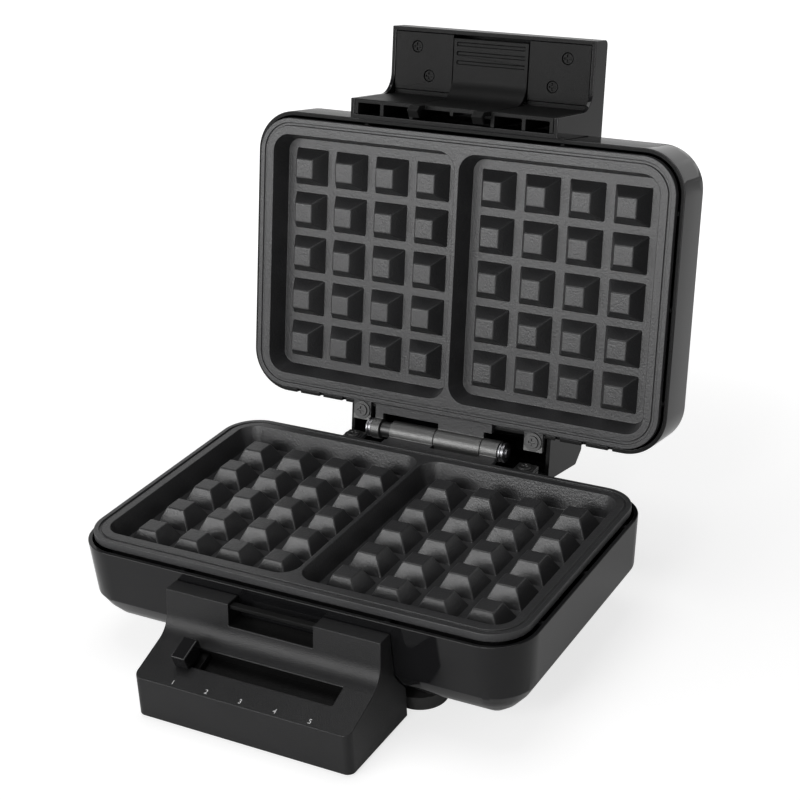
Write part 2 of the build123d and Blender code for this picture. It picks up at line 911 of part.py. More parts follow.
def handle_profile():
    """Side view of the handle: the grip that stands forward and the root that comes down."""
    tip = -handle_tip
    nose_start = (tip, handle_outer - handle_round)
    nose_end = (tip + handle_round, handle_outer)
    cove_start = (-root_front, handle_inner - handle_gusset)
    cove_end = (-root_front - handle_gusset, handle_inner)
    grip = side_line(cove_end, (tip, handle_inner), nose_start)
    nose = TangentArc((0, *nose_start), (0, *nose_end), tangent=(0, 0, 1))
    rest = side_line(
        nose_end, (-handle_top_back, handle_outer), (-handle_top_back, 0), (-root_back, 0),
        (-root_back, -root_foot), (-root_front, -root_foot), cove_start,
    )
    cove = TangentArc((0, *cove_start), (0, *cove_end), tangent=(0, 0, 1))
    return grip + nose + rest + cove


def handle_posts():
    """Screw posts inside the grip, one for each panel screw."""
    foot = handle_inner + panel_thick + panel_play
    return [post(post_r, x, y, foot, handle_ceiling) for x, y in handle_screw_places()]


def handle_screw_places():
    outer = [(side * outer_screw_x, -outer_screw_y) for side in (-1, 1)]
    inner = [(side * inner_screw_x, -inner_screw_y) for side in (-1, 1)]
    return outer + inner


def handle_shell():
    """The gloss cover of the handle, with the side walls that the grip and the root sit between."""
    hollow = side_polygon([
        (-handle_tip + handle_wall, -root_foot - 1), (-handle_tip + handle_wall, handle_ceiling),
        (-handle_top_back + handle_wall, handle_ceiling), (-handle_top_back + handle_wall, lid_edge),
        (-root_back - handle_wall, lid_edge), (-root_back - handle_wall, -root_foot - 1),
    ], handle_half - handle_wall)
    under_lid = block(-handle_half, handle_half, front_face, 0, -root_foot - 1, lid_edge)
    body = across(handle_profile(), handle_half) - hollow - lid_solid() - under_lid
    body += handle_posts()
    for x, y in handle_screw_places():
        body -= post(screw_r + pin_fit, x, y, handle_inner, handle_ceiling - screw_end)
    return body


def handle_panel(side):
    """One inner panel of the grip, with two sunk screw holes."""
    x0, x1 = sorted((side * bay_near, side * bay_far))
    tip = -handle_tip + handle_wall + panel_play
    panel = block(x0, x1, tip, -panel_edge, handle_inner, handle_inner + panel_thick)
    for x, y in handle_screw_places():
        panel -= post(recess_r, x, y, handle_inner, handle_inner + recess_deep)
        panel -= post(screw_r + pin_fit, x, y, handle_inner, handle_inner + panel_thick)
    return panel


def handle_screws():
    seat = handle_inner + recess_deep
    screws = []
    for x, y in handle_screw_places():
        head = post(sunk_head_r, x, y, seat - sunk_head, seat)
        shank = post(screw_r, x, y, seat, handle_ceiling - screw_end)
        screws.append(head + shank - cross_recess(x, y, seat - sunk_head))
    return screws


def handle_root():
    """The frame between the handle's side walls: two front walls, and cheeks that carry the lever."""
    back = -root_back - handle_wall - root_play
    top = handle_ceiling - panel_play
    edge = -panel_edge + panel_play
    inside = -root_front + 1
    ledge_top = handle_inner + panel_thick
    cheek = [
        (inside, -root_foot), (back, -root_foot), (back, lid_crease), (-root_back - cheek_lean, top),
        (edge, top), (edge, handle_inner + 1), (inside, handle_inner + 1),
    ]
    web = [
        (-pivot_y - ear_r, pivot_z), (-pivot_y - ear_r, top), (-panel_edge, top),
        (-panel_edge, ledge_top + panel_play), (-pivot_y - ear_r, ledge_top + panel_play),
    ]
    tie_half = bay_near + 1
    root = block(-tie_half, tie_half, back - tie_thick, back, lid_crease - tie_high, lid_crease - 2)
    for side in (-1, 1):
        x0, x1 = sorted((side * bay_near, side * bay_far))
        root += block(x0, x1, -root_front, -root_front + handle_wall, -root_foot, ledge_top)
        root += block(x0, x1, edge, inside, handle_inner + ledge_rise, ledge_top)
        for place in (bay_near, (bay_near + bay_far) / 2, bay_far - bay_wall):
            root += Pos(side * (place + bay_wall / 2), 0, 0) * side_polygon(cheek, bay_wall / 2)
        root += Pos(side * (bay_near + bay_wall / 2), 0, 0) * side_polygon(web, bay_wall / 2)
        root += rod(ear_r, *sorted((side * bay_near, side * (bay_near + bay_wall))), -pivot_y, pivot_z)
    return root - rod(pivot_r + pivot_fit, -handle_half, handle_half, -pivot_y, pivot_z)


def pivot_pin():
    half = bay_near + bay_wall
    return rod(pivot_r, -half, half, -pivot_y, pivot_z)


def lever_profile():
    """Side view of the lever: the grip's middle, a cove, and the leg that comes down."""
    low = handle_inner - lever_sink
    high = low + lever_thick
    corner_y = -root_front - handle_gusset
    corner_z = low - handle_gusset
    inside = -root_front + lever_thick
    top = side_line((corner_y, low), (-lever_tip, low), (-lever_tip, high), (corner_y, high))
    inner_cove = TangentArc((0, corner_y, high), (0, inside, corner_z), tangent=(0, 1, 0))
    foot = -root_foot
    leg = side_line((inside, corner_z), (inside, foot), (-root_front, foot), (-root_front, corner_z))
    outer_cove = TangentArc((0, -root_front, corner_z), (0, corner_y, low), tangent=(0, 0, 1))
    return top + inner_cove + leg + outer_cove


def latch_lever():
    """The middle of the grip, which tips about its pin and carries two hooks below."""
    low = handle_inner - lever_sink
    inside = -root_front + lever_thick
    lever = across(lever_profile(), lever_half)
    groove_half = lever_half - grip_end
    for place in range(grip_count):
        front = -grip_first + place * grip_pitch - grip_wide / 2
        lever -= block(-groove_half, groove_half, front, front + grip_wide, low, low + grip_deep)
    ear = [
        (-pivot_y - ear_r, low + 1), (-pivot_y - ear_r, pivot_z), (-pivot_y + ear_r, pivot_z),
        (-pivot_y + ear_r + 1, low - 2), (-pivot_y, low + 1),
    ]
    catch = -keeper_top - keeper_thick - hook_clear
    barb = -keeper_front + hook_barb
    hook = [
        (-root_front, 2 - root_foot), (-root_front, catch - hook_edge), (inside, catch - hook_lip),
        (barb, catch - hook_edge), (barb, catch), (inside, catch), (inside, 2 - root_foot),
    ]
    for side in (-1, 1):
        ear_x = side * (lever_half - ear_thick / 2 - 1)
        lever += Pos(ear_x, 0, 0) * side_polygon(ear, ear_thick / 2)
        lever += rod(ear_r, ear_x - ear_thick / 2, ear_x + ear_thick / 2, -pivot_y, pivot_z)
        hook_x = side * (lever_half - hook_wide / 2 - hook_inset)
        lever += Pos(hook_x, 0, 0) * side_polygon(hook, hook_wide / 2)
    lever += block(-1, 1, 1 - root_front, inside + 2, -root_foot, low - handle_gusset)
    return lever - rod(pivot_r + pivot_fit, -handle_half, handle_half, -pivot_y, pivot_z)


def latch_spring():
    """A leaf that presses the lever home, fixed under the top of the grip."""
    tip_z = handle_inner - lever_sink + lever_thick + leaf_gap
    tip_y = -pivot_y - leaf_reach
    back = -root_front + 2
    return side_polygon([
        (back, handle_ceiling), (back, handle_ceiling - leaf_thick),
        (-pivot_y - 1, handle_ceiling - leaf_thick), (tip_y, tip_z), (tip_y, tip_z + leaf_thick),
        (-pivot_y - 1, handle_ceiling),
    ], leaf_wide / 2)


def terminal_block():
    """The connector that the mains lead's wires would end in, screwed to the bottom cover."""
    top = -base_bottom + terminal_high
    body = Pos(
        gland_x - terminal_inset, back_face - terminal_back, top - terminal_high / 2
    ) * Box(terminal_long, terminal_wide, terminal_high)
    for place in range(terminal_ways):
        x = gland_x - terminal_inset + (place - (terminal_ways - 1) / 2) * terminal_pitch
        body -= post(terminal_well_r, x, back_face - terminal_back, top - terminal_well, top)
    return body


# Every piece in its node, in the body that it moves with

base_nodes = {
    "base_housing": base_housing(),
    "bottom_cover": bottom_cover(),
    "bottom_screws": bottom_screws(),
    "rear_feet": rear_feet(),
    "front_feet": front_feet(),
    "cord_gland": cord_gland(),
    "terminal_block": terminal_block(),
    "lower_plate": lower_plate(),
    "lower_pegs": pegs(),
    "lower_heater": heater(),
    "lower_heater_pins": heater_pins(),
    "lower_heat_shield": heat_shield(),
    "lower_heater_straps": heater_straps(),
    "lower_heat_sensor": heat_sensor(),
    "lower_clamp_screws": clamp_screws(-1),
    "hinge_pin": hinge_pin(),
    "hinge_retainers": hinge_retainers(),
    "hinge_spacer": hinge_spacer(),
    "console_housing": console_housing(),
    "console_base": console_base(),
    "console_pads": console_pads(),
    "latch_keeper": latch_keeper(),
    "slider_track": slider_track(),
    "slide_potentiometer": slide_potentiometer(),
    "control_board": control_board(),
}
slider_nodes = {
    "slider_knob": slider_knob(),
    "slider_carriage": slider_carriage(),
}
lid_nodes = {
    "lid_housing": lid_housing(),
    "upper_plate": upper_plate(),
    "upper_pegs": [upside_down(piece) for piece in pegs()],
    "upper_heater": upside_down(heater()),
    "upper_heater_pins": [upside_down(piece) for piece in heater_pins()],
    "upper_heat_shield": upside_down(heat_shield()),
    "upper_heater_straps": [upside_down(piece) for piece in heater_straps()],
    "upper_heat_sensor": upside_down(heat_sensor()),
    "upper_clamp_screws": clamp_screws(1),
    "handle_shell": handle_shell(),
    "handle_root": handle_root(),
    "handle_panel_left": handle_panel(-1),
    "handle_panel_right": handle_panel(1),
    "handle_screws": handle_screws(),
    "latch_pivot_pin": pivot_pin(),
    "latch_spring": latch_spring(),
}
latch_nodes = {"latch_lever": latch_lever()}


def as_one(shape):
    """Several solids of one node as a compound, or the solid itself."""
    return Compound(children=list(shape)) if isinstance(shape, list) else shape


# The lid and its latch swing open about the hinge pin
hinge_line = Axis((0, hinge_y, hinge_z), (1, 0, 0))
placed = {name: as_one(shape) for name, shape in {**base_nodes, **slider_nodes}.items()}
for name, shape in {**lid_nodes, **latch_nodes}.items():
    placed[name] = as_one(shape).rotate(hinge_line, -open_angle)

# The origin is on the table, under the middle of the open machine
boxes = [shape.bounding_box() for shape in placed.values()]
front_end = min(box.min.Y for box in boxes)
back_end = max(box.max.Y for box in boxes)
to_table = Pos(0, -(front_end + back_end) / 2, table_drop)
for name, shape in placed.items():
    export_step(to_table * shape, f"parts/{name}.step")
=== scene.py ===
# %% [markdown]
# # A waffle maker, dressed for its photograph
# The solids of the machine are already made, to the tenth of a millimetre. This script gives
# them their finishes and the small softened edges that a moulding or a casting has, adds what
# is printed on them, and sets the light and the camera. Every length here is in metres.

# %% Load the machine
import json
from math import cos, radians, sin

import bmesh
import bpy
from mathutils import Euler, Matrix, Vector


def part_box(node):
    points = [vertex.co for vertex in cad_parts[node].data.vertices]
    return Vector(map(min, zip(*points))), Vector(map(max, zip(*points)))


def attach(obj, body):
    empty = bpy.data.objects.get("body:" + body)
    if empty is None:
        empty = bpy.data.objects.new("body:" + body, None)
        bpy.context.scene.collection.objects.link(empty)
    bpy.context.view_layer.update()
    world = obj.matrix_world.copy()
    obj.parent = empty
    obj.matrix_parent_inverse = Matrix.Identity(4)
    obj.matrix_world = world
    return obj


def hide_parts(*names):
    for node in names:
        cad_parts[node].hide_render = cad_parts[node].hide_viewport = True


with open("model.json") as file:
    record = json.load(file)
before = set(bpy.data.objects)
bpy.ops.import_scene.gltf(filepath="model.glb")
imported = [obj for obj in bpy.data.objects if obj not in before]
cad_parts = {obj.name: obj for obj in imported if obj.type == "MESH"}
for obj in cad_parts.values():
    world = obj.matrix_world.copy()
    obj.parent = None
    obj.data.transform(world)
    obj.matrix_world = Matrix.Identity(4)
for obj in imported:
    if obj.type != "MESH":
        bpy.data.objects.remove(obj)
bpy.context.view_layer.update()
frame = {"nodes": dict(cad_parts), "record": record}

nodes = frame["nodes"]
mm = 0.001

# %% [markdown]
# ## Shader maths as plain expressions
# A finish is a small sum of noises and masks. Written as nodes one by one, the sum is hard to
# read. So a shader value gets a wrapper that knows + and *, and every use of them adds the
# Math node that it stands for. Colours never pass through it, since a Math node turns a
# colour grey: they are mixed by a Mix node instead.

# %% A value in a shader
class Value:
    """An output socket that can be added and multiplied."""

    def __init__(self, finish, socket):
        self.finish = finish
        self.socket = socket

    def maths(self, operation, first, second):
        return self.finish.node("ShaderNodeMath", {"operation": operation}, {0: first, 1: second})

    def __add__(self, other):
        return self.maths("ADD", self, other)

    def __radd__(self, other):
        return self.maths("ADD", other, self)

    def __mul__(self, other):
        return self.maths("MULTIPLY", self, other)


# %% [markdown]
# ## One finish, one object
# A finish owns its material. Constants go straight onto the shader's own sockets. One method,
# node, adds any node at all: its settings first, then the values or links of its sockets.

# %% A finish and its nodes
def grey(tone):
    return (tone, tone, tone)


class Finish:
    """A material whose nodes are added one at a time."""

    def __init__(self, name, **constants):
        self.material = bpy.data.materials.new(name)
        self.material.use_nodes = True
        self.tree = self.material.node_tree
        self.surface = self.tree.nodes["Principled BSDF"]
        for socket, value in constants.items():
            self.surface.inputs[socket.replace("_", " ")].default_value = value
        place = self.tree.nodes.new("ShaderNodeTexCoord")
        self.place = Value(self, place.outputs["Object"])

    def node(self, kind, settings, sockets, output=0):
        made = self.tree.nodes.new(kind)
        stops = settings.pop("stops", None)
        for name, value in settings.items():
            setattr(made, name, value)
        if stops:
            for stop, (at, tone) in zip(made.color_ramp.elements, stops):
                stop.position = at
                stop.color = (*grey(tone), 1)
        for name, value in sockets.items():
            if isinstance(value, Value):
                self.tree.links.new(value.socket, made.inputs[name])
            else:
                made.inputs[name].default_value = value
        return Value(self, made.outputs[output])

    def noise(self, scale, detail=2.0, roughness=0.5):
        """A cloud pattern from 0 to 1, with so many clouds to the metre."""
        sockets = {"Vector": self.place, "Scale": scale, "Detail": detail, "Roughness": roughness}
        return self.node("ShaderNodeTexNoise", {}, sockets)

    def grains(self, scale):
        """Little cells from 0 to 1, as in a spark-eroded mould."""
        return self.node("ShaderNodeTexVoronoi", {}, {"Vector": self.place, "Scale": scale})

    def ramp(self, value, first, second):
        """A grey between two stops, each a position and a tone."""
        return self.node("ShaderNodeValToRGB", {"stops": (first, second)}, {"Fac": value})

    def vector(self, operation, first, second):
        sockets = {0: first, 1: second}
        return self.node("ShaderNodeVectorMath", {"operation": operation}, sockets)

    def length(self, vector):
        return self.node("ShaderNodeVectorMath", {"operation": "LENGTH"}, {0: vector}, output=1)

    def mix(self, share, dark, light):
        """A colour between two colours, by a share from 0 to 1."""
        settings = {"data_type": "RGBA", "clamp_factor": True}
        sockets = {0: share, 6: (*dark, 1), 7: (*light, 1)}
        return self.node("ShaderNodeMix", settings, sockets, output=2)

    def bump(self, height, distance, strength):
        sockets = {"Height": height, "Distance": distance, "Strength": strength}
        return self.node("ShaderNodeBump", {}, sockets)

    def feed(self, **sockets):
        for name, value in sockets.items():
            self.tree.links.new(value.socket, self.surface.inputs[name.replace("_", " ")])
        return self.material


# %% [markdown]
# ## Gloss black
# The two housings, the top of the handle and the slider's knob are high-gloss black moulded
# plastic. Such a surface shows its light by reflection alone, so its colour hardly matters, and
# what makes it real is what disturbs the reflection: a faint long wave left by the mould, and a
# haze of handling that makes the gloss a little uneven.

# %% Gloss black
def gloss_black():
    finish = Finish("gloss_black", IOR=1.5, Specular_IOR_Level=0.28)
    haze = finish.noise(38, detail=5.0, roughness=0.6)
    specks = finish.noise(1400, detail=1.0)
    wave = finish.noise(22, detail=1.0)
    tone = finish.mix(haze, (0.004, 0.004, 0.0045), (0.008, 0.008, 0.0085))
    rough = 0.03 + haze * 0.05 + specks * 0.015
    skin = finish.bump(wave + specks * 0.004, 0.0006, strength=0.12)
    return finish.feed(Base_Color=tone, Roughness=rough, Normal=skin)


# %% [markdown]
# ## Satin black
# The console, the inside of the handle, the latch and the slider's carriage come from moulds
# with a fine eroded grain. The grain is a bump of little cells, too small to see one by one, and it
# spreads every reflection wide. The tops of the grains wear a touch smoother.

# %% Satin black
def satin_black(name, dark, light, rough_low, shine):
    finish = Finish(name, IOR=1.48, Specular_IOR_Level=shine)
    grain = finish.grains(2600)
    cloud = finish.noise(60, detail=4.0)
    tone = finish.mix(cloud, dark, light)
    rough = rough_low + cloud * 0.10 + grain * 0.06
    skin = finish.bump(grain, 0.00012, strength=0.5)
    return finish.feed(Base_Color=tone, Roughness=rough, Normal=skin)


# %% [markdown]
# ## Non-stick casting
# The plates are die-cast aluminium under a sprayed dark grey coat. The spray leaves a skin
# like fine orange peel with a scatter of paler specks. The coat is a paint with a little
# metal in it, so it is mostly a plastic that shines softly. The hinge barrels are masked when
# the plates are sprayed and stay bare aluminium. The same material finds them by their
# distance from the hinge's axis.

# %% Non-stick casting
pin_low, pin_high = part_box("hinge_pin")
hinge_line = (pin_low + pin_high) / 2
barrel_reach = 5.95 * mm


def nonstick():
    finish = Finish("nonstick", IOR=1.45, Specular_IOR_Level=0.56)
    peel = finish.noise(900, detail=3.0, roughness=0.6)
    specks = finish.grains(1000)
    cloud = finish.noise(30, detail=4.0)
    pale = finish.ramp(specks, (0.0, 1.0), (0.30, 0.0))
    share = cloud * 0.5 + pale * 0.9
    off_axis = finish.vector("SUBTRACT", finish.place, hinge_line)
    reach = finish.length(finish.vector("MULTIPLY", off_axis, (0.0, 1.0, 1.0)))
    bare = finish.node("ShaderNodeMath", {"operation": "LESS_THAN"}, {0: reach, 1: barrel_reach})
    tone = finish.mix(share, (0.018, 0.018, 0.019), (0.044, 0.044, 0.045))
    cast = finish.mix(cloud, grey(0.11), (0.16, 0.16, 0.157))
    sockets = {0: bare, 6: tone, 7: cast}
    colour = finish.node("ShaderNodeMix", {"data_type": "RGBA"}, sockets, output=2)
    rough = 0.27 + peel * 0.12 + cloud * 0.05 + bare * 0.12
    skin = finish.bump(peel, 0.0002, strength=0.9)
    return finish.feed(Base_Color=colour, Metallic=bare, Roughness=rough, Normal=skin)


# %% [markdown]
# ## Metals
# A turned pin shows rings round its axis, and a pressed sheet shows the long lines of the
# rolling mill. Each is one stretched pattern, which moves the roughness and the tone by a few
# percent.

# %% Steel and sheet
def brushed(name, tone_low, tone_high, rough_low, stretch, scale):
    finish = Finish(name, Metallic=1.0)
    sockets = {"Vector": finish.place, "Scale": stretch}
    along = finish.node("ShaderNodeMapping", {}, sockets)
    sockets = {"Vector": along, "Scale": scale, "Detail": 4.0}
    lines = finish.node("ShaderNodeTexNoise", {}, sockets)
    cloud = finish.noise(80, detail=3.0)
    tone = finish.mix(lines * 0.6 + cloud * 0.4, tone_low, tone_high)
    rough = rough_low + lines * 0.14 + cloud * 0.08
    skin = finish.bump(lines, 0.00004, strength=0.4)
    return finish.feed(Base_Color=tone, Roughness=rough, Normal=skin)


# %% [markdown]
# ## The quiet materials
# Rubber, painted sheet, the circuit board and the ceramic of the thermostats are seldom seen.
# Each still gets its own colour and grain, from one recipe: two tones, a scale, a roughness
# and the height of its grain. The ink of the numbers uses the same recipe.

# %% Rubber, sheet, board, ceramic and ink
def plain(name, dark, light, scale, rough_low, bump_height):
    finish = Finish(name)
    cloud = finish.noise(scale, detail=4.0)
    fine = finish.noise(scale * 14, detail=2.0)
    tone = finish.mix(cloud, dark, light)
    rough = rough_low + cloud * 0.12 + fine * 0.06
    skin = finish.bump(fine, bump_height, strength=0.5)
    return finish.feed(Base_Color=tone, Roughness=rough, Normal=skin)


finishes = {
    "gloss_black": gloss_black(),
    "deep_black": satin_black("deep_black", grey(0.003), grey(0.006), 0.34, 0.12),
    "satin_black": satin_black(
        "satin_black", (0.006, 0.006, 0.0065), (0.011, 0.011, 0.0115), 0.30, 0.28
    ),
    "nonstick": nonstick(),
    "steel": brushed("steel", (0.20, 0.20, 0.21), (0.36, 0.36, 0.37), 0.24, (60, 1, 1), 60),
    "dark_steel": brushed("dark_steel", grey(0.06), grey(0.10), 0.32, (60, 1, 1), 60),
    "sheet": brushed("sheet", (0.45, 0.45, 0.46), (0.60, 0.60, 0.61), 0.28, (1, 30, 1), 70),
    "painted_sheet": plain("painted_sheet", grey(0.014), grey(0.022), 120, 0.34, 0.0001),
    "rubber": plain("rubber", grey(0.016), (0.030, 0.030, 0.029), 220, 0.68, 0.0002),
    "board": plain("board", (0.020, 0.075, 0.030), (0.030, 0.105, 0.045), 90, 0.34, 0.00005),
    "ceramic": plain("ceramic", (0.62, 0.60, 0.55), (0.74, 0.72, 0.67), 150, 0.44, 0.0001),
}
print("finishes", sorted(finishes))

# %% [markdown]
# ## Which finish each piece wears
# The machine's record already names a material slot for every piece, so the table is read from
# there and no piece is forgotten. A few pieces are exceptions: the grip's underside and the latch
# are moulded in a deeper, duller black, and what lies in the slider's slot gets it as painted
# shade.
# The grip's screws and the bar for the hooks are blackened. The screws that clamp the plates
# and the spacer on the hinge pin are of a darker steel.

# %% Dress every solid
slot_of = {piece["node"]: piece["material_slot"] for piece in frame["record"]["subparts"]}
exceptions = {
    "handle_panel_left": "deep_black",
    "handle_panel_right": "deep_black",
    "handle_root": "deep_black",
    "latch_lever": "deep_black",
    "handle_screws": "deep_black",
    "latch_keeper": "deep_black",
    # The slot's track and carriage take the darker black as painted shade in the recess.
    "slider_track": "deep_black",
    "slider_carriage": "deep_black",
    "hinge_spacer": "dark_steel",
    "lower_clamp_screws": "dark_steel",
    "upper_clamp_screws": "dark_steel",
}


def finish_of(name):
    return finishes[exceptions.get(name, slot_of[name])]


for name, solid in nodes.items():
    solid.data.materials.clear()
    solid.data.materials.append(finish_of(name))
print("dressed", len(slot_of), "of", len(nodes))

# %% [markdown]
# ## Softened edges
# A solid's edges are perfectly sharp, and nothing real is. A moulding has a radius of a few
# tenths of a millimetre on every edge, and it is this thin line that catches the light. The
# solid's mesh is copied and welded, its flat faces are joined, and a Bevel modifier rounds
# whatever edge is sharper than a limit. Smooth shading alone would then bend the light over
# the flat faces too, so a Weighted Normal modifier gives each large face its own direction
# back. Both modifiers are then applied.

# %% Round the edges of what shows
weld = 2e-6
flat = radians(0.4)
edge_segments = 2
edge_limit = 28


def body_of(name):
    members = frame["record"]["behaviour"]["bodies"]
    return next(body for body, names in members.items() if name in names)


def rounded(mesh, name, width, segments, limit):
    """An object whose edges sharper than a limit in degrees are rounded, its flat faces flat."""
    piece = bpy.data.objects.new(name, mesh)
    bpy.context.scene.collection.objects.link(piece)
    for face in mesh.polygons:
        face.use_smooth = True
    bevel = piece.modifiers.new("edge", "BEVEL")
    bevel.width = width
    bevel.segments = segments
    bevel.limit_method = "ANGLE"
    bevel.angle_limit = radians(limit)
    bevel.use_clamp_overlap = False
    bevel.miter_outer = "MITER_ARC"
    weighted = piece.modifiers.new("flat", "WEIGHTED_NORMAL")
    weighted.mode = "FACE_AREA"
    weighted.weight = 100
    weighted.keep_sharp = True
    graph = bpy.context.evaluated_depsgraph_get()
    finished = bpy.data.meshes.new_from_object(piece.evaluated_get(graph))
    piece.modifiers.clear()
    piece.data = finished
    print(name, "has", len(finished.polygons), "faces")
    return piece


def softened(name, width):
    """A copy of a solid with rounded edges, which then stands for it."""
    shape = bmesh.new()
    shape.from_mesh(nodes[name].data)
    bmesh.ops.remove_doubles(shape, verts=shape.verts, dist=weld)
    bmesh.ops.dissolve_limit(shape, angle_limit=flat, verts=shape.verts, edges=shape.edges)
    mesh = bpy.data.meshes.new(name + "_soft")
    shape.to_mesh(mesh)
    shape.free()
    mesh.materials.append(finish_of(name))
    piece = rounded(mesh, name + "_soft", width, edge_segments, edge_limit)
    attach(piece, body_of(name))
    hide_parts(name)
    return piece


edge_widths = {
    "lower_plate": 0.3 * mm,
    "upper_plate": 0.3 * mm,
    "base_housing": 0.5 * mm,
    "lid_housing": 0.35 * mm,
    "console_housing": 0.5 * mm,
    "handle_shell": 0.3 * mm,
    "handle_root": 0.3 * mm,
    "handle_panel_left": 0.3 * mm,
    "handle_panel_right": 0.3 * mm,
    "latch_lever": 0.3 * mm,
    "slider_knob": 0.7 * mm,
    "slider_carriage": 0.3 * mm,
    "latch_keeper": 0.3 * mm,
    "lower_clamp_screws": 0.12 * mm,
    "upper_clamp_screws": 0.12 * mm,
    "handle_screws": 0.12 * mm,
    "hinge_pin": 0.3 * mm,
    "hinge_retainers": 0.15 * mm,
    "hinge_spacer": 0.2 * mm,
}
soft = {name: softened(name, width) for name, width in edge_widths.items()}

# %% [markdown]
# ## Dull rims, and painted shade in the openings
# Where the lid's mouth meets the base's, and where the handle's cover meets the grip, the
# gloss ends in a flat rim as dull as the grip. So every face of those two mouldings that looks
# the way the plate looks takes a second material. The walls and floors of the console's slot
# and notch take that darker, duller black too, as painted shade, since they are recesses that
# the light hardly reaches.

# %% Give the rims their dull faces, and paint shade into the openings
open_angle = radians(100.87)
lid_faces = Matrix.Rotation(-open_angle, 3, "X") @ Vector((0, 0, -1))
panel_tilt = radians(19.45)
panel_drop = 40.2 * mm
meeting_height = 63.0 * mm
console_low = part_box("console_housing")[0]
keeper_low, keeper_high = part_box("latch_keeper")
track_low, track_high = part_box("slider_track")
panel_front = Vector((0, console_low.y, meeting_height - panel_drop))
up_panel = Vector((0, cos(panel_tilt), sin(panel_tilt)))
off_panel = Vector((0, -sin(panel_tilt), cos(panel_tilt)))
slack = 0.4 * mm
notch_depth = 10.0 * mm
same_way = 0.97
forwards = -0.3


def on_lid_rim(face):
    return face.normal.dot(lid_faces) > same_way


def in_slot(face):
    under = (face.center - panel_front).dot(off_panel) < -slack
    across = track_low.x < face.center.x < track_high.x
    return under and across and track_low.y - slack < face.center.y < track_high.y + slack


def in_notch(face):
    across = keeper_low.x < face.center.x < keeper_high.x
    high = face.center.z > keeper_low.z - notch_depth
    return across and high and face.normal.y > forwards


def dull_and_painted_shade(piece, chosen):
    """Put the second material on the chosen faces: it makes the lids' rims dull and paints shade
    into the console's openings.
    """
    piece.data.materials.append(finishes["deep_black"])
    turned = [face for face in piece.data.polygons if chosen(face)]
    for face in turned:
        face.material_index = 1
    print(piece.name, "has", len(turned), "dull faces")


dull_and_painted_shade(soft["lid_housing"], on_lid_rim)
dull_and_painted_shade(soft["handle_shell"], on_lid_rim)
# The walls and floors of the slot and the notch take the darker black as painted shade.
dull_and_painted_shade(soft["console_housing"], lambda face: in_slot(face) or in_notch(face))

# %% [markdown]
# ## The grid of pegs
# Forty pegs stand in each plate, and they follow one rule: a square foot, a smaller square tip,
# and the same step from each to the next. So they are one Geometry Nodes tree. A cube is
# pinched into a peg by moving its corners, a grid of points stands for one well, the peg is
# instanced on the points of both wells, and the instances are made real. A Bevel modifier
# after the tree rounds every edge at once. The sizes come in as named inputs, so that the
# same tree would make a plate with more or fewer pegs.

# %% A tree of nodes for one plate
peg_inputs = {
    "Pitch X": 25.0 * mm,
    "Pitch Y": 24.3 * mm,
    "Columns": 4,
    "Rows": 5,
    "Foot": 20.0 * mm,
    "Tip": 10.4 * mm,
    "Height": 9.2 * mm,
    "Sunk": 0.6 * mm,
    "First": 19.4 * mm,
}


class Tree:
    """A Geometry Nodes tree whose nodes are added one at a time."""

    def __init__(self, name, inputs):
        self.group = bpy.data.node_groups.new(name, "GeometryNodeTree")
        interface = self.group.interface
        interface.new_socket("Geometry", in_out="OUTPUT", socket_type="NodeSocketGeometry")
        self.keys = {}
        for title, value in inputs.items():
            kind = "NodeSocketInt" if isinstance(value, int) else "NodeSocketFloat"
            socket = interface.new_socket(title, in_out="INPUT", socket_type=kind)
            socket.default_value = value
            self.keys[title] = socket.identifier
        self.entry = self.group.nodes.new("NodeGroupInput")
        self.exit = self.group.nodes.new("NodeGroupOutput")

    def given(self, title):
        return self.entry.outputs[title]

    def node(self, kind, settings, sockets, output=0):
        made = self.group.nodes.new(kind)
        for name, value in settings.items():
            setattr(made, name, value)
        for name, value in sockets.items():
            if isinstance(value, bpy.types.NodeSocket):
                self.group.links.new(value, made.inputs[name])
            else:
                made.inputs[name].default_value = value
        return made.outputs[output]

    def maths(self, operation, first, second):
        return self.node("ShaderNodeMath", {"operation": operation}, {0: first, 1: second})

    def close(self, geometry, material):
        real = self.node("GeometryNodeRealizeInstances", {}, {"Geometry": geometry})
        dressed = self.node("GeometryNodeSetMaterial", {}, {"Geometry": real, "Material": material})
        self.group.links.new(dressed, self.exit.inputs["Geometry"])


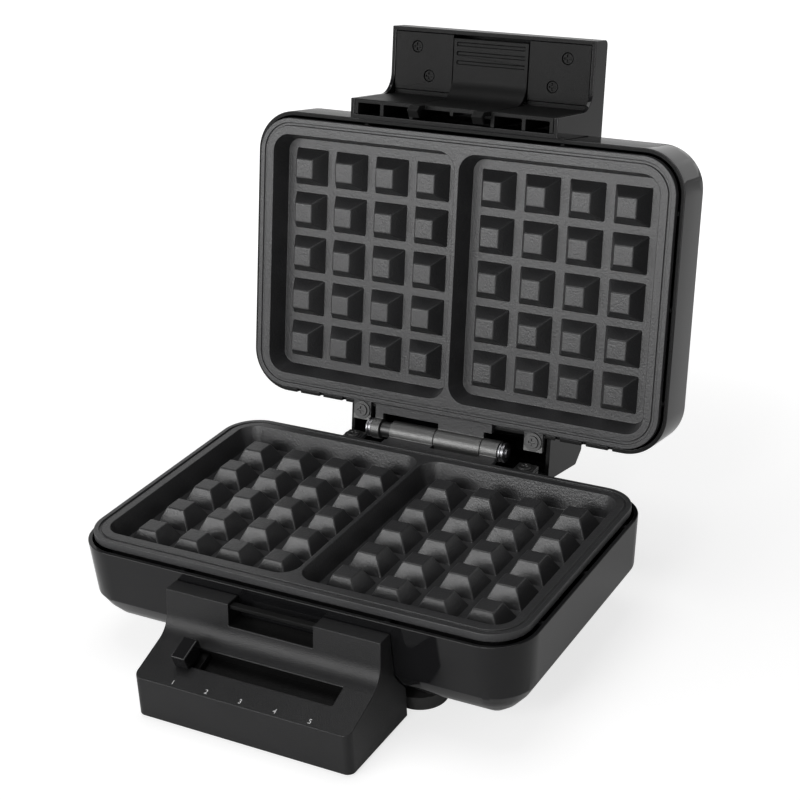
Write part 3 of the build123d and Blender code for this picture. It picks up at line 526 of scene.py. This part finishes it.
def peg_tree():
    tree = Tree("peg_grid", peg_inputs)
    cube = tree.node("GeometryNodeMeshCube", {}, {"Size": (1.0, 1.0, 1.0)})
    place = tree.node("GeometryNodeInputPosition", {}, {})
    split = tree.group.nodes.new("ShaderNodeSeparateXYZ")
    tree.group.links.new(place, split.inputs[0])
    rise = tree.maths("ADD", split.outputs["Z"], 0.5)
    narrower = tree.maths("SUBTRACT", tree.given("Foot"), tree.given("Tip"))
    slope = tree.maths("DIVIDE", narrower, tree.given("Height"))
    tall = tree.maths("ADD", tree.given("Height"), tree.given("Sunk"))
    high = tree.maths("SUBTRACT", tree.maths("MULTIPLY", rise, tall), tree.given("Sunk"))
    wide = tree.maths("SUBTRACT", tree.given("Foot"), tree.maths("MULTIPLY", high, slope))
    sockets = {
        "X": tree.maths("MULTIPLY", split.outputs["X"], wide),
        "Y": tree.maths("MULTIPLY", split.outputs["Y"], wide),
        "Z": high,
    }
    pinched = tree.node("ShaderNodeCombineXYZ", {}, sockets)
    peg = tree.node("GeometryNodeSetPosition", {}, {"Geometry": cube, "Position": pinched})
    steps_x = tree.maths("SUBTRACT", tree.given("Columns"), 1)
    steps_y = tree.maths("SUBTRACT", tree.given("Rows"), 1)
    span_x = tree.maths("MULTIPLY", steps_x, tree.given("Pitch X"))
    sockets = {
        "Size X": span_x,
        "Size Y": tree.maths("MULTIPLY", steps_y, tree.given("Pitch Y")),
        "Vertices X": tree.given("Columns"),
        "Vertices Y": tree.given("Rows"),
    }
    well = tree.node("GeometryNodeMeshGrid", {}, sockets)
    middle = tree.maths("ADD", tree.given("First"), tree.maths("DIVIDE", span_x, 2))
    wells = tree.group.nodes.new("GeometryNodeJoinGeometry")
    for side in (-1, 1):
        aside = tree.node("ShaderNodeCombineXYZ", {}, {"X": tree.maths("MULTIPLY", middle, side)})
        moved = tree.node("GeometryNodeTransform", {}, {"Geometry": well, "Translation": aside})
        tree.group.links.new(moved, wells.inputs[0])
    sockets = {"Points": wells.outputs[0], "Instance": peg}
    stood = tree.node("GeometryNodeInstanceOnPoints", {}, sockets)
    tree.close(stood, finishes["nonstick"])
    return tree


# %% Make the pegs of both plates
peg_edge = 0.7 * mm
peg_segments = 3
peg_limit = 30


def peg_grid(name, place, turned_over):
    """The evaluated tree with rounded edges, moved to its plate."""
    tree = peg_tree()
    holder = bpy.data.objects.new(name, bpy.data.meshes.new(name))
    bpy.context.scene.collection.objects.link(holder)
    made = holder.modifiers.new("pegs", "NODES")
    made.node_group = tree.group
    for title, value in peg_inputs.items():
        made[tree.keys[title]] = value
    graph = bpy.context.evaluated_depsgraph_get()
    mesh = bpy.data.meshes.new_from_object(holder.evaluated_get(graph))
    bpy.data.objects.remove(holder)
    mesh.transform(place)
    if turned_over:
        mesh.flip_normals()
    return rounded(mesh, name, peg_edge, peg_segments, peg_limit)


foot_low, foot_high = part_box("lower_pegs")
stand = Matrix.Translation(Vector((0, (foot_low.y + foot_high.y) / 2, foot_low.z)))
raised = Matrix.Translation((0, 0, meeting_height))
lowered = Matrix.Translation((0, 0, -meeting_height))
turn_over = raised @ Matrix.Scale(-1, 4, (0, 0, 1)) @ lowered
to_hinge = Matrix.Translation((0, hinge_line.y, hinge_line.z))
swing = to_hinge @ Matrix.Rotation(-open_angle, 4, "X") @ to_hinge.inverted()
for name, place in (("lower_pegs", stand), ("upper_pegs", swing @ turn_over @ stand)):
    piece = peg_grid(name + "_soft", place, name == "upper_pegs")
    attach(piece, body_of(name))
    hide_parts(name)
    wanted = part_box(name)[1].z
    got = max((piece.matrix_world @ Vector(corner)).z for corner in piece.bound_box)
    print(name, "top", round(got / mm, 2), "of", round(wanted / mm, 2), "mm")

# %% [markdown]
# ## Numbers beside the slider
# The control has five settings, and the numbers 1 to 5 are pad-printed along the front edge of
# the sloping panel. Each number is a Text object turned into a mesh and laid on the panel. It
# is four hundredths of a millimetre thick, about as much as a heavy coat of ink.

# %% Print the numbers
mark_pitch = 18.9 * mm
mark_high = 2.5 * mm
mark_up_panel = 1.6 * mm
mark_count = 5
figure_share = 0.7
ink_half = 0.02 * mm
knob_low, knob_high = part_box("slider_knob")
first_mark = (knob_low.x + knob_high.x) / 2
ink = plain("ink", (0.48, 0.48, 0.48), (0.62, 0.62, 0.62), 300, 0.5, 0.00001)


def printed(text, place):
    curve = bpy.data.curves.new("mark_" + text, "FONT")
    curve.body = text
    curve.size = mark_high / figure_share
    curve.align_x = "CENTER"
    curve.extrude = ink_half
    letter = bpy.data.objects.new("mark_" + text, curve)
    bpy.context.scene.collection.objects.link(letter)
    bpy.context.view_layer.update()
    graph = bpy.context.evaluated_depsgraph_get()
    mesh = bpy.data.meshes.new_from_object(letter.evaluated_get(graph))
    bpy.data.objects.remove(letter)
    mesh.transform(Matrix.Translation(place) @ Matrix.Rotation(panel_tilt, 4, "X"))
    mesh.materials.clear()
    mesh.materials.append(ink)
    piece = bpy.data.objects.new("mark_" + text, mesh)
    bpy.context.scene.collection.objects.link(piece)
    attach(piece, "base")


for number in range(mark_count):
    across = Vector((first_mark + number * mark_pitch, 0, 0))
    place = panel_front + across + up_panel * mark_up_panel + off_panel * ink_half
    printed(str(number + 1), place)
print("numbers stand", round(place.z / mm, 1), "mm over the table")

# %% [markdown]
# ## Floor, light and camera
# The machine was photographed on white. Most of the light comes from one wide, low softbox at
# the front left, which the fronts of the pegs mirror. Two smaller ones pick out the edges, and
# a weak one hangs overhead. The floor is a white board that keeps the shadow. To the camera a
# share of it glows, and the share grows away from the machine, so that the floor ends in the
# same plain white as the world behind it. The gloss mirrors little of that glow.

# %% Floor
near_share = 0.52
far_share = 0.8
near_reach = 0.25
far_reach = 0.55
glow_strength = 1.42
mirror_share = 0.1
floor_size = 6.0


def white_floor():
    finish = Finish("floor", Roughness=0.55)
    cloud = finish.noise(3)
    tone = finish.mix(cloud, grey(0.86), grey(0.90))
    finish.feed(Base_Color=tone)
    rays = finish.tree.nodes.new("ShaderNodeLightPath")
    seen = Value(finish, rays.outputs["Is Camera Ray"])
    mirrored = Value(finish, rays.outputs["Is Glossy Ray"])
    through = Value(finish, rays.outputs["Is Transmission Ray"])
    glow = finish.node("ShaderNodeEmission", {}, {"Color": (1, 1, 1, 1), "Strength": glow_strength})
    shaded = Value(finish, finish.surface.outputs[0])
    sockets = {
        "Value": finish.length(finish.place),
        "From Min": near_reach,
        "From Max": far_reach,
        "To Min": near_share,
        "To Max": far_share,
    }
    glow_share = finish.node("ShaderNodeMapRange", {"interpolation_type": "SMOOTHSTEP"}, sockets)
    share = (seen + through + mirrored * mirror_share) * glow_share
    both = finish.node("ShaderNodeMixShader", {}, {0: share, 1: shaded, 2: glow})
    finish.tree.links.new(both.socket, finish.tree.nodes["Material Output"].inputs[0])
    return finish.material


mesh = bpy.data.meshes.new("floor")
half = floor_size / 2
corners = [(-half, -half, 0), (half, -half, 0), (half, half, 0), (-half, half, 0)]
mesh.from_pydata(corners, [], [(0, 1, 2, 3)])
mesh.materials.append(white_floor())
floor = bpy.data.objects.new("floor", mesh)
bpy.context.scene.collection.objects.link(floor)

# %% World
sky_low = 0.42
sky_high = 0.72


def studio_world(soft_light, horizon, ceiling):
    """White to the camera, weak as a light, and darker overhead where the gloss mirrors it."""
    world = bpy.data.worlds.new("studio")
    bpy.context.scene.world = world
    world.use_nodes = True
    tree = world.node_tree
    background = tree.nodes["Background"]
    background.inputs["Color"].default_value = (1, 1, 1, 1)

    def maths(operation, *values):
        made = tree.nodes.new("ShaderNodeMath")
        made.operation = operation
        for index, value in enumerate(values):
            if isinstance(value, bpy.types.NodeSocket):
                tree.links.new(value, made.inputs[index])
            else:
                made.inputs[index].default_value = value
        return made.outputs[0]

    rays = tree.nodes.new("ShaderNodeLightPath").outputs
    place = tree.nodes.new("ShaderNodeTexCoord")
    split = tree.nodes.new("ShaderNodeSeparateXYZ")
    tree.links.new(place.outputs["Generated"], split.inputs[0])
    rise = tree.nodes.new("ShaderNodeMapRange")
    tree.links.new(split.outputs["Z"], rise.inputs["Value"])
    rise.inputs["From Min"].default_value = sky_low
    rise.inputs["From Max"].default_value = sky_high
    rise.inputs["To Min"].default_value = horizon
    rise.inputs["To Max"].default_value = ceiling
    clear = maths("MAXIMUM", rays["Is Camera Ray"], rays["Is Transmission Ray"])
    mirrored = maths("MULTIPLY", rays["Is Glossy Ray"], rise.outputs[0])
    strength = maths("MAXIMUM", maths("MAXIMUM", clear, mirrored), soft_light)
    tree.links.new(strength, background.inputs["Strength"])


studio_world(soft_light=0.15, horizon=0.9, ceiling=0.15)

# %% Lamps
middle = Vector((0, 0, 0.12))


def softbox(name, place, size, power):
    """A rectangular lamp, with its power in watts, that looks at the middle of the machine."""
    lamp = bpy.data.lights.new(name, "AREA")
    lamp.shape = "RECTANGLE"
    lamp.size = size[0]
    lamp.size_y = size[1]
    lamp.energy = power
    box = bpy.data.objects.new(name, lamp)
    box.location = place
    box.rotation_euler = (middle - Vector(place)).to_track_quat("-Z", "Y").to_euler()
    bpy.context.scene.collection.objects.link(box)


softbox("key", (-0.85, -1.70, 0.58), (1.5, 0.5), 21)
softbox("edge", (0.45, -1.80, 0.30), (0.9, 0.4), 6)
softbox("edge_high", (0.10, -1.60, 1.10), (0.35, 0.35), 5)
softbox("overhead", (-0.1, 0.1, 1.4), (1.0, 0.8), 7)

# %% Camera
camera_place = (0.4223, -0.7085, 0.4953)
camera_turn = (65.1386, 2.9492, 28.8648)
focal_length = 81.3
lens = bpy.data.cameras.new("camera")
lens.lens = focal_length
lens.sensor_width = 36
lens.clip_start = 0.01
camera = bpy.data.objects.new("camera", lens)
camera.location = camera_place
camera.rotation_euler = Euler([radians(turn) for turn in camera_turn], "XYZ")
bpy.context.scene.collection.objects.link(camera)
bpy.context.scene.camera = camera
bpy.context.scene.view_settings.view_transform = "Standard"
